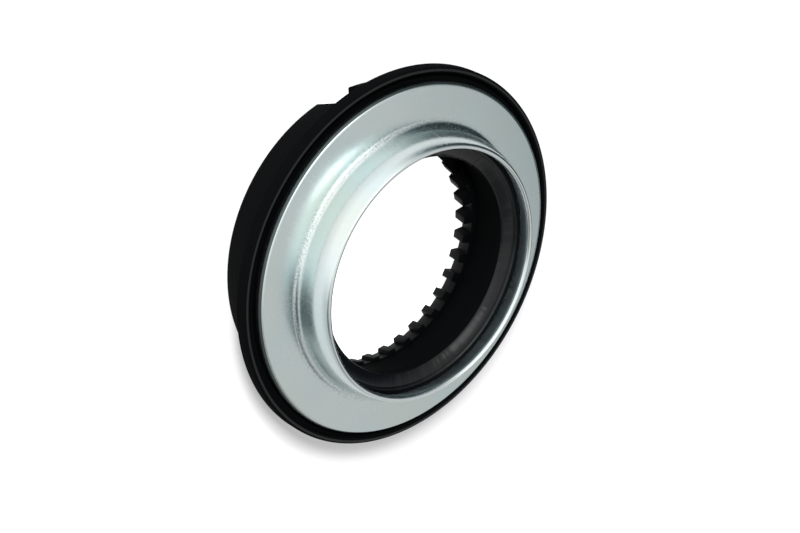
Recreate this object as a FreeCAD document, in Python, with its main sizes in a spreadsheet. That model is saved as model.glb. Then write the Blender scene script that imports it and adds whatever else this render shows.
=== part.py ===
import FreeCAD, Part
import math
import os

import Sketcher

# Strut mount: the bearing and spring seat that sit on top of a front suspension spring.
# The black cap under it stays with the car body, and the bright spring seat above it turns
# with the spring when the wheels steer. The part lies on its body side, on the rim of the
# fixed cap, so Z points from the car body towards the spring and the axis of turning is Z.
# X points along the small offset of the toothed ring. All lengths are in millimetres.

SIZES = (
    # Turning plastic cap, from the throat outwards
    ("throat_radius", 35.7),
    ("throat_drop", 2.45),
    ("throat_land", 2.5),
    ("funnel_width", 3.5),
    ("funnel_step", 0.5),
    ("funnel_ledge", 0.9),
    ("sleeve_top_width", 1.9),
    ("sleeve_rise", 6.5),
    ("bore_flare", 3.4),
    ("sleeve_wall", 2.1),
    ("sleeve_rounding", 0.4),
    ("cap_disc", 2.0),
    ("cap_over_race", 3.04),
    ("rim_lap", 1.5),
    # Pressed steel spring seat
    ("collar_clearance", 0.2),
    ("sheet_thickness", 2.0),
    ("collar_root", 2.0),
    ("collar_land", 1.5),
    ("collar_rise", 12.45),
    ("collar_lean", 24.0),
    ("rim_overhang", 0.1),
    ("rim_rounding", 1.2),
    ("sheet_edge_break", 0.25),
    # Balls, races and cage
    ("ball_count", 30),
    ("ball_diameter", 5.5),
    ("ball_clearance", 0.06),
    ("ball_shoulder", 0.94),
    ("race_thickness", 1.2),
    ("race_seat_clearance", 0.05),
    ("race_end_angle", 5.0),
    ("race_span", 100.0),
    ("race_rim", 0.6),
    ("cage_angle", 35.0),
    ("cage_reach", 0.79),
    ("cage_thickness", 1.6),
    ("cage_pocket_clearance", 0.15),
    # Fixed cap on the car-body side: web, skirt and cone wall
    ("web_underside", 9.0),
    ("web_thickness", 2.94),
    ("channel_width", 2.24),
    ("channel_depth", 2.4),
    ("rim_gap", 0.7),
    ("skirt_gap", 2.3),
    ("skirt_wall", 2.1),
    ("skirt_lap", 0.2),
    ("skirt_height", 4.6),
    ("skirt_rounding", 0.9),
    ("skirt_edge_break", 0.6),
    ("skirt_overhang", 3.6),
    ("wall_taper", 7.2),
    ("wall_thickness", 3.3),
    # Hub of the fixed cap and the guard that stands round the sleeve
    ("hub_drop", 1.6),
    ("hub_depth", 5.85),
    ("hub_gap", 0.45),
    ("hub_lap", 0.7),
    ("hub_wall", 4.6),
    ("hub_draft", 1.4),
    ("hub_bore_offset", 0.9),
    ("guard_gap", 0.7),
    ("guard_wall", 1.3),
    ("guard_tip", 1.1),
    # Snap beads that keep the two caps together
    ("bead_reach", 1.0),
    ("bead_overlap", 0.5),
    ("bead_depth", 1.3),
    ("bead_play", 0.6),
    ("bead_clearance", 0.3),
    # Toothed ring in the bore of the fixed cap
    ("tooth_count", 35),
    ("tooth_offset", 2.6),
    ("tooth_phase", 9.3),
    ("tooth_height", 2.0),
    ("tooth_tip_width", 2.5),
    ("tooth_root_width", 3.95),
    ("tooth_bite", 0.5),
    # Ribs and key slot on the hidden side
    ("rib_count", 20),
    ("rib_thickness", 1.8),
    ("rib_wall_height", 3.0),
    ("slot_angle", 252.8),
    ("slot_width", 13.3),
    ("slot_slope", 1.09),
    # Rubber seals
    ("seal_gap", 0.3),
    ("seal_side_gap", 0.05),
    ("seal_body", 1.2),
    ("seal_lip_width", 0.5),
)

document = FreeCAD.newDocument("strut_mount")
sheet = document.addObject("Spreadsheet::Sheet", "sizes")
for row, (alias, number) in enumerate(SIZES, start=1):
    sheet.set("A%d" % row, alias)
    sheet.set("B%d" % row, str(number))
    sheet.setAlias("B%d" % row, alias)
document.recompute()


class Size:
    """A length or angle together with the expression that ties it to the sheet."""

    def __init__(self, value, text):
        self.value = float(value)
        self.text = text

    def __add__(self, other):
        other = as_size(other)
        return Size(self.value + other.value, "(%s + %s)" % (self.text, other.text))

    def __sub__(self, other):
        other = as_size(other)
        return Size(self.value - other.value, "(%s - %s)" % (self.text, other.text))

    def __rsub__(self, other):
        return as_size(other) - self

    def __rtruediv__(self, other):
        return as_size(other) / self

    def __mul__(self, other):
        other = as_size(other)
        return Size(self.value * other.value, "(%s * %s)" % (self.text, other.text))

    def __truediv__(self, other):
        other = as_size(other)
        return Size(self.value / other.value, "(%s / %s)" % (self.text, other.text))

    __radd__ = __add__
    __rmul__ = __mul__


def as_size(number):
    """Take a plain number as a size of its own."""
    if isinstance(number, Size):
        return number
    return Size(number, "%g" % number)


def size(alias):
    """A driving size from the sheet."""
    return Size(sheet.get(alias), "sizes.%s" % alias)


def cosine(angle):
    """Cosine of an angle in degrees."""
    return Size(math.cos(math.radians(angle.value)), "cos(%s)" % angle.text)


def sine(angle):
    """Sine of an angle in degrees."""
    return Size(math.sin(math.radians(angle.value)), "sin(%s)" % angle.text)


def rounding(radius, wall):
    """A rounding, held to less than half of the wall whose two edges it rounds."""
    widest = wall * 0.45
    return Size(min(radius.value, widest.value), "min(%s; %s)" % (radius.text, widest.text))


def polar(centre, radius, angle):
    """The point at a distance and an angle from a centre in the section plane."""
    return (centre[0] + radius * cosine(angle), centre[1] + radius * sine(angle))


def origin_plane(body, role):
    """One of the three base planes of a body."""
    for feature in body.Origin.OriginFeatures:
        if feature.Role == role:
            return feature
    raise ValueError("%s has no %s" % (body.Label, role))


def new_body(label):
    """A body named as its piece."""
    body = document.addObject("PartDesign::Body", label)
    body.Label = label
    body.Placement = FreeCAD.Placement()
    return body


def new_sketch(body, name, role, offset=None):
    """A sketch on a base plane; offset moves or turns it on that plane."""
    sketch = body.newObject("Sketcher::SketchObject", name)
    sketch.AttachmentSupport = [(origin_plane(body, role), "")]
    sketch.MapMode = "FlatFace"
    for path, value in (offset or {}).items():
        sketch.setExpression("AttachmentOffset.%s" % path, as_size(value).text)
    document.recompute()
    return sketch


def tie(sketch, kind, *where, value):
    """Add one dimension to a sketch and bind it to the sheet."""
    index = sketch.addConstraint(Sketcher.Constraint(kind, *where, value.value))
    sketch.setExpression("Constraints[%d]" % index, value.text)


def pin(sketch, geometry, end, x=None, y=None):
    """Fix a point of a sketch at its distances from the sketch's origin."""
    for kind, axis, value in (("DistanceX", -2, x), ("DistanceY", -1, y)):
        if value is None:
            continue
        value = as_size(value)
        if abs(value.value) < 1e-9:
            sketch.addConstraint(Sketcher.Constraint("PointOnObject", geometry, end, axis))
        else:
            tie(sketch, kind, -1, 1, geometry, end, value=value)


def draw_outline(sketch, points, arcs=None):
    """Draw a closed outline and bind each corner.

    points are (x, y) sizes in order. arcs gives, for a corner's number, the centre of the arc
    that runs from that corner to the next one. The last side must be straight.
    """
    arcs = arcs or {}
    count = len(points)
    ends = []
    for number in range(count):
        start = points[number]
        finish = points[(number + 1) % count]
        first = FreeCAD.Vector(as_size(start[0]).value, as_size(start[1]).value, 0)
        last = FreeCAD.Vector(as_size(finish[0]).value, as_size(finish[1]).value, 0)
        if number in arcs:
            centre = FreeCAD.Vector(arcs[number][0].value, arcs[number][1].value, 0)
            begin = math.atan2(first.y - centre.y, first.x - centre.x)
            stop = math.atan2(last.y - centre.y, last.x - centre.x)
            turn = (stop - begin) % (2 * math.pi)
            ahead = turn < math.pi
            circle = Part.Circle(centre, FreeCAD.Vector(0, 0, 1), (first - centre).Length)
            if not ahead:
                begin, stop = stop, begin
            geometry = sketch.addGeometry(Part.ArcOfCircle(circle, begin, stop), False)
            ends.append((geometry, 1, 2) if ahead else (geometry, 2, 1))
        else:
            geometry = sketch.addGeometry(Part.LineSegment(first, last), False)
            ends.append((geometry, 1, 2))
    for number in range(count):
        here = ends[number]
        following = ends[(number + 1) % count]
        sketch.addConstraint(
            Sketcher.Constraint("Coincident", here[0], here[2], following[0], following[1])
        )
    for number in range(count):
        geometry, start_end, _ = ends[number]
        x, y = points[number]
        if number - 1 in arcs:
            centre = arcs[number - 1]
            along_x = abs(as_size(y).value - centre[1].value)
            along_y = abs(as_size(x).value - centre[0].value)
            if along_x > along_y:
                y = None
            else:
                x = None
        pin(sketch, geometry, start_end, x, y)
        if number in arcs:
            pin(sketch, geometry, 3, *arcs[number])
    document.recompute()


def revolve(body, name, points, arcs=None):
    """Turn a section, drawn as radius and height, about the axis of the bearing."""
    sketch = new_sketch(body, name + "_section", "XZ_Plane")
    draw_outline(sketch, points, arcs)
    feature = body.newObject("PartDesign::Revolution", name)
    feature.Profile = sketch
    feature.ReferenceAxis = (sketch, ["V_Axis"])
    feature.Angle = 360
    sketch.Visibility = False
    document.recompute()
    return feature


def groove(body, name, points, offset=None):
    """Cut a section, drawn as radius and height, right round an axis."""
    sketch = new_sketch(body, name + "_section", "XZ_Plane", offset)
    draw_outline(sketch, points)
    feature = body.newObject("PartDesign::Groove", name)
    feature.Profile = sketch
    feature.ReferenceAxis = (sketch, ["V_Axis"])
    feature.Angle = 360
    document.recompute()
    return feature


def pattern_round(body, name, feature, axis, count):
    """Repeat a feature evenly round an axis."""
    pattern = body.newObject("PartDesign::PolarPattern", name)
    pattern.Originals = [feature]
    pattern.Axis = axis
    pattern.Angle = 360
    pattern.setExpression("Occurrences", count.text)
    body.Tip = pattern
    document.recompute()
    return pattern


def circle_edges(shape, radius, height):
    """Names of the full circles of a shape with a given radius and height."""
    found = []
    for number, edge in enumerate(shape.Edges, start=1):
        curve = edge.Curve
        if not isinstance(curve, Part.Circle):
            continue
        near = abs(curve.Radius - radius.value) < 1e-4
        level = abs(curve.Center.z - as_size(height).value) < 1e-4
        if near and level:
            found.append("Edge%d" % number)
    return found


def round_edges(body, name, circles, radius):
    """Round the circular edges that are given by their radius and height."""
    base = body.Tip
    names = []
    for edge_radius, height in circles:
        names += circle_edges(base.Shape, as_size(edge_radius), height)
    feature = body.newObject("PartDesign::Fillet", name)
    feature.Base = (base, names)
    feature.setExpression("Radius", radius.text)
    document.recompute()
    return feature


# Places that several pieces share, as radii from the axis outwards
groove_radius = size("ball_diameter") / 2 + size("ball_clearance")
race_back_radius = groove_radius + size("race_thickness")
race_seat_radius = race_back_radius + size("race_seat_clearance")
funnel_radius = size("throat_radius") + size("funnel_width")
ledge_radius = funnel_radius + size("funnel_ledge")
sleeve_radius = ledge_radius + size("sleeve_top_width")
collar_inner_radius = sleeve_radius + size("collar_clearance")
collar_radius = collar_inner_radius + size("sheet_thickness")
collar_foot_radius = collar_radius + size("collar_root")
sleeve_end_radius = size("throat_radius") + size("bore_flare")
sleeve_outer_radius = sleeve_end_radius + size("sleeve_wall")
hub_bore_front = sleeve_end_radius - size("hub_lap")
hub_outer_radius = hub_bore_front + size("hub_wall")
guard_inner_radius = sleeve_outer_radius + size("guard_gap")
guard_outer_radius = guard_inner_radius + size("guard_wall")
bead_edge_radius = guard_outer_radius + size("bead_reach")
bead_pocket_radius = bead_edge_radius + size("bead_clearance")
ball_pitch_radius = bead_pocket_radius + size("ball_shoulder") + race_seat_radius
channel_inner_radius = ball_pitch_radius + race_seat_radius + size("race_rim")
channel_radius = channel_inner_radius + size("channel_width")
rim_outer_radius = channel_radius + size("rim_lap")
plate_radius = rim_outer_radius + size("rim_overhang")
skirt_inner_radius = plate_radius + size("skirt_gap")
skirt_radius = skirt_inner_radius + size("skirt_wall")
wall_top_radius = skirt_radius - size("skirt_overhang")
wall_foot_radius = wall_top_radius - size("wall_taper")
wall_inner_foot = wall_foot_radius - size("wall_thickness")

# Heights above the rim that the part lies on, from the car-body side upwards
hub_back = size("web_underside") - size("hub_drop")
hub_front = hub_back + size("hub_depth")
sleeve_end = hub_front + size("hub_gap")
ball_height = size("web_underside") + size("web_thickness") + race_seat_radius
bead_foot = ball_height + size("bead_depth") + size("bead_play")
guard_top = bead_foot + size("bead_overlap") + size("guard_tip")
inner_seal_base = guard_top + size("seal_gap") * 2 + size("seal_body")
sheet_under = ball_height + race_seat_radius + size("cap_over_race")
disc_under = sheet_under - size("cap_disc")
groove_floor = disc_under - size("rim_gap")
channel_floor = groove_floor - size("channel_depth")
skirt_top = sheet_under + size("skirt_lap")
skirt_step = skirt_top - size("skirt_height")
plate_top = sheet_under + size("sheet_thickness")
collar_foot_height = plate_top + size("collar_root")
collar_land_top = collar_foot_height + size("collar_land")
collar_top = plate_top + size("collar_rise")
sleeve_top = plate_top + size("sleeve_rise")
ball_centre = (ball_pitch_radius, ball_height)
wall_lean = (wall_top_radius - wall_foot_radius) / skirt_step


def build_spring_seat():
    """Zinc-plated sheet steel: a flat ring and a collar drawn up to centre the spring."""
    body = new_body("spring_seat")
    root_centre = (collar_foot_radius, collar_foot_height)
    dome_radius = (collar_top - collar_land_top) / sine(size("collar_lean"))
    dome_centre = (collar_radius - dome_radius, collar_land_top)
    dome_inner_radius = dome_radius - size("sheet_thickness")
    points = [
        (plate_radius, plate_top),
        (collar_foot_radius, plate_top),
        (collar_radius, collar_foot_height),
        (collar_radius, collar_land_top),
        polar(dome_centre, dome_radius, size("collar_lean")),
        polar(dome_centre, dome_inner_radius, size("collar_lean")),
        (collar_inner_radius, collar_land_top),
        (collar_inner_radius, collar_foot_height),
        (collar_foot_radius, sheet_under),
        (plate_radius, sheet_under),
    ]
    arcs = {1: root_centre, 3: dome_centre, 5: dome_centre, 7: root_centre}
    revolve(body, "seat_sheet", points, arcs)
    round_edges(body, "seat_rim_rounding", [points[0]], size("rim_rounding"))
    round_edges(body, "seat_edge_break", [points[4], points[5]], size("sheet_edge_break"))
    return body


def build_lower_cap():
    """Black moulded cap that turns with the seat: sleeve, funnel, disc and rim."""
    body = new_body("lower_cap")
    corner_radius = collar_foot_radius - sleeve_radius
    corner_centre = (collar_foot_radius, sheet_under + corner_radius)
    throat_top = sleeve_top - size("throat_drop")
    funnel_top = sleeve_top - size("funnel_step")
    seat_start = 180 - size("race_end_angle") * 2 - size("race_span")
    seat_end = 180 - size("race_end_angle")
    seat_outer = polar(ball_centre, race_seat_radius, seat_start)
    seat_inner = polar(ball_centre, race_seat_radius, seat_end)
    bead_radius = bead_edge_radius - size("bead_overlap")
    bead_top = ball_height + size("bead_depth")
    points = [
        (size("throat_radius"), throat_top - size("throat_land")),
        (size("throat_radius"), throat_top),
        (funnel_radius, funnel_top),
        (funnel_radius + size("funnel_step"), funnel_top),
        (ledge_radius, sleeve_top),
        (sleeve_radius, sleeve_top),
        (sleeve_radius, corner_centre[1]),
        (collar_foot_radius, sheet_under),
        (rim_outer_radius, sheet_under),
        (rim_outer_radius, disc_under),
        (seat_outer[0], disc_under),
        seat_outer,
        seat_inner,
        (seat_inner[0], ball_height),
        (bead_radius, ball_height),
        (bead_radius, bead_top),
        (bead_pocket_radius, bead_top),
        (bead_pocket_radius, inner_seal_base),
        (sleeve_outer_radius, inner_seal_base),
        (sleeve_outer_radius, sleeve_end),
        (sleeve_end_radius, sleeve_end),
    ]
    revolve(body, "cap_body", points, {6: corner_centre, 11: ball_centre})
    round_edges(
        body, "sleeve_rounding", [points[5], points[20]],
        rounding(size("sleeve_rounding"), size("sleeve_wall")),
    )
    return body


def build_race(label, first_angle):
    """Pressed steel race: a strip bent round the balls, over a quarter of their section."""
    body = new_body(label)
    last_angle = first_angle + size("race_span")
    points = [
        polar(ball_centre, groove_radius, first_angle),
        polar(ball_centre, groove_radius, last_angle),
        polar(ball_centre, race_back_radius, last_angle),
        polar(ball_centre, race_back_radius, first_angle),
    ]
    revolve(body, label + "_strip", points, {0: ball_centre, 2: ball_centre})
    return body


def build_ball_cage():
    """Moulded cage: a narrow cone between the races, with a pocket for each ball."""
    body = new_body("ball_cage")
    along = size("cage_angle")
    across = size("cage_angle") + 90
    half = size("cage_thickness") / 2
    reach = groove_radius + size("cage_reach")
    corners = []
    for run, side in ((1, -1), (1, 1), (-1, 1), (-1, -1)):
        middle = polar(ball_centre, reach * run, along)
        corners.append(polar(middle, half * side, across))
    revolve(body, "cage_ring", corners)
    pocket = body.newObject("PartDesign::SubtractiveSphere", "cage_pocket")
    pocket.setExpression("Radius", (groove_radius + size("cage_pocket_clearance")).text)
    pocket.AttachmentSupport = [(origin_plane(body, "XY_Plane"), "")]
    pocket.MapMode = "FlatFace"
    pocket.setExpression("AttachmentOffset.Base.x", ball_centre[0].text)
    pocket.setExpression("AttachmentOffset.Base.z", ball_centre[1].text)
    document.recompute()
    pattern_round(
        body, "cage_pockets", pocket,
        (origin_plane(body, "Z_Axis"), [""]), size("ball_count"),
    )
    return body


def build_balls():
    """Steel balls, one in each pocket of the cage."""
    balls = []
    for number in range(int(size("ball_count").value)):
        ball = document.addObject("Part::Sphere", "ball_%02d" % (number + 1))
        ball.Label = ball.Name
        angle = 360 / size("ball_count") * number
        ball.setExpression("Radius", (size("ball_diameter") / 2).text)
        ball.setExpression("Placement.Base.x", (ball_centre[0] * cosine(angle)).text)
        ball.setExpression("Placement.Base.y", (ball_centre[0] * sine(angle)).text)
        ball.setExpression("Placement.Base.z", ball_centre[1].text)
        balls.append(ball)
    document.recompute()
    return balls


def build_seal(label, inner, outer, base, lip_radius, lip_end):
    """Rubber ring with one lip that hangs towards the fixed cap."""
    body = new_body(label)
    shoulder = base - size("seal_body")
    points = [
        (inner, base),
        (outer, base),
        (outer, shoulder),
        (lip_radius + size("seal_lip_width"), shoulder),
        (lip_radius + size("seal_lip_width") / 2, lip_end),
        (lip_radius - size("seal_lip_width") / 2, lip_end),
        (lip_radius - size("seal_lip_width"), shoulder),
        (inner, shoulder),
    ]
    revolve(body, label + "_ring", points)
    return body


def build_upper_cap():
    """Black moulded cap that stays with the car body.

    A skirt hides the gap, a cone-shaped wall carries the load, and the bore has a ring of teeth
    whose tips lie on a circle that is a little off the axis.
    """
    body = new_body("upper_cap")
    wall_inner_top = wall_inner_foot + wall_lean * size("web_underside")
    seat_start = size("race_end_angle") * -1
    seat_end = seat_start - size("race_span")
    seat_outer = polar(ball_centre, race_seat_radius, seat_start)
    seat_inner = polar(ball_centre, race_seat_radius, seat_end)
    hub_blank_radius = hub_bore_front - size("tooth_height")
    points = [
        (wall_inner_foot, 0),
        (wall_foot_radius, 0),
        (wall_top_radius, skirt_step),
        (skirt_radius - size("skirt_edge_break"), skirt_step),
        (skirt_radius, skirt_step + size("skirt_edge_break")),
        (skirt_radius, skirt_top),
        (skirt_inner_radius, skirt_top),
        (skirt_inner_radius, groove_floor),
        (channel_radius, groove_floor),
        (channel_radius, channel_floor),
        (channel_inner_radius, channel_floor),
        seat_outer,
        seat_inner,
        (guard_outer_radius, seat_inner[1]),
        (guard_outer_radius, bead_foot),
        (bead_edge_radius, bead_foot),
        (bead_edge_radius, bead_foot + size("bead_overlap")),
        (guard_outer_radius, guard_top),
        (guard_inner_radius, guard_top),
        (guard_inner_radius, hub_front),
        (hub_blank_radius, hub_front),
        (hub_blank_radius, hub_back),
        (hub_outer_radius, hub_back),
        (hub_outer_radius, size("web_underside")),
        (wall_inner_top, size("web_underside")),
    ]
    revolve(body, "cap_shell", points, {11: ball_centre})
    add_teeth(body)
    trim_hub(body, seat_inner)
    cut_key_slot(body)
    add_ribs(body)
    round_edges(
        body, "skirt_rounding",
        [(skirt_radius, skirt_top), (skirt_inner_radius, skirt_top)],
        rounding(size("skirt_rounding"), size("skirt_wall")),
    )
    return body


def cut_round(body, name, back_radius, front_radius, offset):
    """Clear the bore to a cone whose axis may stand off the axis of the bearing."""
    core = hub_bore_front / 2
    behind = hub_back - size("web_thickness")
    before = hub_front + size("web_thickness")
    points = [
        (core, behind),
        (back_radius, behind),
        (back_radius, hub_back),
        (front_radius, hub_front),
        (front_radius, before),
        (core, before),
    ]
    groove(body, name, points, {"Base.x": offset})


def add_teeth(body):
    """Ring of teeth in the bore, spaced evenly about a centre off the axis."""
    root_back = hub_bore_front + size("hub_draft")
    cut_round(body, "bore", root_back, hub_bore_front, size("hub_bore_offset"))
    sketch = new_sketch(
        body, "tooth_outline", "XY_Plane", {"Base.x": size("tooth_offset"), "Base.z": hub_back},
    )
    sketch.AttachmentOffset = FreeCAD.Placement(
        sketch.AttachmentOffset.Base,
        FreeCAD.Rotation(FreeCAD.Vector(0, 0, 1), size("tooth_phase").value),
    )
    sketch.setExpression("AttachmentOffset.Rotation.Angle", size("tooth_phase").text)
    tip_front = hub_bore_front - size("tooth_height")
    tip_back = tip_front + size("hub_draft")
    half_tip = size("tooth_tip_width") / 2
    half_root = size("tooth_root_width") / 2
    inner = tip_front - size("tooth_height")
    # The wall of the bore is furthest from the centre of the teeth on the side away from it
    seat = root_back + size("tooth_offset") - size("hub_bore_offset") + size("tooth_bite")
    points = [
        (inner, half_tip * -1),
        (tip_back, half_tip * -1),
        (seat, half_root * -1),
        (seat, half_root),
        (tip_back, half_tip),
        (inner, half_tip),
    ]
    draw_outline(sketch, points)
    tooth = body.newObject("PartDesign::Pad", "tooth")
    tooth.Profile = sketch
    tooth.setExpression("Length", (hub_front - hub_back).text)
    document.recompute()
    pattern_round(body, "teeth", tooth, (sketch, ["N_Axis"]), size("tooth_count"))
    cut_round(body, "tooth_tips", tip_back, tip_front, size("tooth_offset"))


def trim_hub(body, seat_inner):
    """Turn the hub and the guard flush where the roots of the teeth come through them."""
    under = [
        (hub_outer_radius, hub_back - size("hub_drop")),
        (wall_inner_foot, hub_back - size("hub_drop")),
        (wall_inner_foot, size("web_underside")),
        (hub_outer_radius, size("web_underside")),
    ]
    groove(body, "hub_outside", under)
    over = [
        (guard_outer_radius, seat_inner[1]),
        (seat_inner[0], seat_inner[1]),
        (seat_inner[0], bead_foot),
        (guard_outer_radius, bead_foot),
    ]
    groove(body, "guard_outside", over)


def cut_key_slot(body):
    """Slot through the cone wall that keys the cap to the car body; its roof slopes up."""
    sketch = new_sketch(body, "slot_section", "XZ_Plane")
    turn_section(sketch, size("slot_angle"))
    roof_outer = skirt_radius - size("skirt_edge_break")
    roof_inner = roof_outer - (skirt_step - size("web_underside")) * size("slot_slope")
    start = (hub_outer_radius + wall_inner_foot) / 2
    points = [
        (start, 0),
        (skirt_radius, 0),
        (skirt_radius, skirt_step),
        (roof_outer, skirt_step),
        (roof_inner, size("web_underside")),
        (start, size("web_underside")),
    ]
    draw_outline(sketch, points)
    pocket = body.newObject("PartDesign::Pocket", "key_slot")
    pocket.Profile = sketch
    pocket.Midplane = True
    pocket.setExpression("Length", size("slot_width").text)
    document.recompute()


def turn_section(sketch, angle):
    """Turn a section plane round the axis of the bearing."""
    sketch.AttachmentOffset = FreeCAD.Placement(
        FreeCAD.Vector(0, 0, 0), FreeCAD.Rotation(FreeCAD.Vector(0, 1, 0), angle.value)
    )
    sketch.setExpression("AttachmentOffset.Rotation.Angle", angle.text)
    document.recompute()


def add_ribs(body):
    """Gusset ribs between hub and cone wall, set so that the key slot lies between two."""
    sketch = new_sketch(body, "rib_section", "XZ_Plane")
    turn_section(sketch, size("slot_angle") + 180 / size("rib_count"))
    hub_thinnest = size("hub_wall") - size("hub_draft") - size("hub_bore_offset")
    hub_end = hub_outer_radius - hub_thinnest / 2
    wall_end = wall_foot_radius - size("wall_thickness") / 2
    rib_top = size("web_underside") + size("web_thickness") / 2
    points = [
        (hub_end, hub_back),
        (hub_outer_radius, hub_back),
        (wall_end + wall_lean * size("rib_wall_height"), size("rib_wall_height")),
        (wall_end + wall_lean * rib_top, rib_top),
        (hub_end, rib_top),
    ]
    draw_outline(sketch, points)
    rib = body.newObject("PartDesign::Pad", "rib")
    rib.Profile = sketch
    rib.Midplane = True
    rib.setExpression("Length", size("rib_thickness").text)
    document.recompute()
    pattern_round(body, "ribs", rib, (origin_plane(body, "Z_Axis"), [""]), size("rib_count"))


def check_and_write():
    """Stop if anything failed, then write one file for each piece."""
    document.recompute()
    failed = []
    for item in document.Objects:
        if "Invalid" in item.State or "Error" in item.State:
            failed.append(item.Name)
    if failed:
        raise RuntimeError("features that failed: %s" % ", ".join(failed))
    os.makedirs("parts", exist_ok=True)
    for piece in pieces:
        shape = piece.Shape
        if shape.isNull() or not shape.isValid() or shape.Volume <= 0:
            raise RuntimeError("%s has no sound shape" % piece.Label)
        shape.exportStep("parts/%s.step" % piece.Label)
        print("%-12s %8.2f mm3, %d solid" % (piece.Label, shape.Volume, len(shape.Solids)))


inner_seal_inner = sleeve_outer_radius + size("seal_side_gap")
inner_seal_outer = bead_pocket_radius - size("seal_side_gap")
outer_seal_inner = channel_inner_radius
outer_seal_outer = channel_radius - size("seal_gap")

pieces = [
    build_upper_cap(),
    build_race("upper_race", (size("race_end_angle") + size("race_span")) * -1),
    build_ball_cage(),
    build_race("lower_race", 180 - size("race_end_angle") - size("race_span")),
    build_lower_cap(),
    build_seal(
        "inner_seal", inner_seal_inner, inner_seal_outer, inner_seal_base,
        (inner_seal_inner + inner_seal_outer) / 2, guard_top + size("seal_gap"),
    ),
    build_seal(
        "outer_seal", outer_seal_inner, outer_seal_outer, disc_under,
        (outer_seal_inner + outer_seal_outer) / 2, channel_floor + size("seal_gap"),
    ),
    build_spring_seat(),
]
pieces += build_balls()
check_and_write()
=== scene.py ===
import logging
import math
from dataclasses import dataclass, field
from enum import Enum
from typing import Callable, Sequence

import bmesh
import bpy
from mathutils import Matrix, Vector


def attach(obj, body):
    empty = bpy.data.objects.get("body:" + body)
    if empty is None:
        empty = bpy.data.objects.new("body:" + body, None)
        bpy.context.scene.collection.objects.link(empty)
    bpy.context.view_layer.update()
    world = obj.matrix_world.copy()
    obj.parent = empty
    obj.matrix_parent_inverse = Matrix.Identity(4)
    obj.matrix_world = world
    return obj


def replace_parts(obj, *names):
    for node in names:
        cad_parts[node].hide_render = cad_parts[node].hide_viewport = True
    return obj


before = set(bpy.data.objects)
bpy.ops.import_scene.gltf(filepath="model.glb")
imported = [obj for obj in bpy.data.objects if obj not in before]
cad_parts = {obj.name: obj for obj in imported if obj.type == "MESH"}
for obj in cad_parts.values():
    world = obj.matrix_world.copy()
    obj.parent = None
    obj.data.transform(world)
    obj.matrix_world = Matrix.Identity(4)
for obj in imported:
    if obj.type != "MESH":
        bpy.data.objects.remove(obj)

log = logging.getLogger("strut_mount")

MM = 0.001
FULL_TURN = 2.0 * math.pi
LATHE_STEPS = 240
MERGE_DISTANCE = 1e-6
SMOOTH_ANGLE = math.radians(32.0)
ORIGIN = Vector((0.0, 0.0, 0.0))
AXIS = Vector((0.0, 0.0, 1.0))
WHITE = (1.0, 1.0, 1.0, 1.0)

Colour = tuple[float, float, float, float]
Point = tuple[float, float]
Point3 = tuple[float, float, float]
Tree = bpy.types.NodeTree
Socket = bpy.types.NodeSocket
Mesh = bmesh.types.BMesh


class Finish(Enum):
    """The finishes that the pieces of the mount are given."""

    ZINC = "zinc_sheet"
    SHADED_INNER_ZINC = "shaded_inner_zinc"
    SHEARED_EDGE = "sheared_edge"
    NYLON = "black_nylon"
    MATTE = "matte_nylon"
    POLISHED = "polished_nylon"
    RUBBER = "seal_rubber"
    STEEL = "bearing_steel"
    CAGE = "cage_nylon"


def link(tree: Tree, source: Socket, target: Socket) -> None:
    """Joins two sockets of one tree."""
    tree.links.new(source, target)


def scalar_node(
    tree: Tree,
    operation: str,
    first: Socket | float,
    second: Socket | float = 0.0,
    clamp: bool = False,
) -> Socket:
    """Adds one arithmetic step.

    Args:
        tree: The tree that takes the step.
        operation: Blender's name of the operation.
        first: A socket or a number.
        second: A socket or a number.
        clamp: Whether the result is held between 0 and 1.

    Returns:
        The socket with the result.
    """
    node = tree.nodes.new("ShaderNodeMath")
    node.operation = operation
    node.use_clamp = clamp
    for index, value in enumerate((first, second)):
        if isinstance(value, Socket):
            link(tree, value, node.inputs[index])
        else:
            node.inputs[index].default_value = value
    return node.outputs[0]


def product(
    tree: Tree,
    first: Socket | float,
    second: Socket | float,
    clamp: bool = False,
) -> Socket:
    """Multiplies two sockets or numbers."""
    return scalar_node(tree, "MULTIPLY", first, second, clamp)


def total(
    tree: Tree,
    first: Socket | float,
    second: Socket | float,
    clamp: bool = False,
) -> Socket:
    """Adds two sockets or numbers."""
    return scalar_node(tree, "ADD", first, second, clamp)


def vector_node(
    tree: Tree,
    operation: str,
    *sources: Socket,
) -> bpy.types.Node:
    """Adds one step of vector arithmetic.

    Args:
        tree: The tree that takes the step.
        operation: Blender's name of the operation.
        *sources: The sockets that feed it, in order.

    Returns:
        The node, so that its other inputs can be set.
    """
    node = tree.nodes.new("ShaderNodeVectorMath")
    node.operation = operation
    for index, source in enumerate(sources):
        link(tree, source, node.inputs[index])
    return node


def blend_colours(
    tree: Tree,
    mask: Socket | float,
    first: Socket | Colour,
    second: Socket | Colour,
) -> Socket:
    """Mixes two colours by a mask.

    Args:
        tree: The tree that takes the mix.
        mask: 0 gives the first colour and 1 the second.
        first: A colour or a socket.
        second: A colour or a socket.

    Returns:
        The socket with the mixed colour.
    """
    node = tree.nodes.new("ShaderNodeMix")
    node.data_type = "RGBA"
    for socket, value in ((node.inputs[0], mask), (node.inputs[6], first), (node.inputs[7], second)):
        if isinstance(value, Socket):
            link(tree, value, socket)
        else:
            socket.default_value = value
    return node.outputs[2]


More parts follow.
